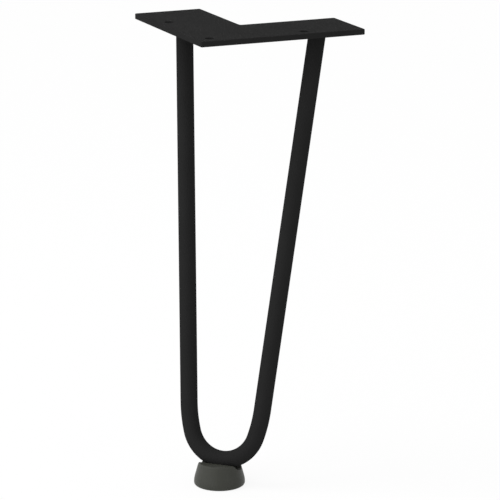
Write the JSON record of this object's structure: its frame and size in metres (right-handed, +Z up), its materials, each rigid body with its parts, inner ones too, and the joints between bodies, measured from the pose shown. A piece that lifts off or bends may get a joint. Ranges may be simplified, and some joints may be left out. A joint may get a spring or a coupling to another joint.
{
  "type": "hairpin table leg",
  "caption": "Slim hairpin furniture leg: a round steel bar bent to a narrow U, welded under an L-shaped screw plate and standing on a moulded grey foot.",
  "frame": {"origin": "on the plate's top face, in the middle of the square where its two arms cross, straight above the bend", "axes": "+Z up, out of the plate's top face; +X across the hairpin from the left bar to the right bar; +Y along the plate's diagonal from its outer corner to its inner corner"},
  "size_m": [0.1406, 0.0989, 0.265],
  "materials": {
    "black_powder_coat": "matt black powder coat on steel",
    "grey_foot": "matt dark grey moulded rubber"
  },
  "bodies": {
    "root": {"mounting_plate": "black_powder_coat", "hairpin_rod": "black_powder_coat", "left_weld_bead": "black_powder_coat", "right_weld_bead": "black_powder_coat", "foot": "grey_foot"}
  },
  "joints": []
}
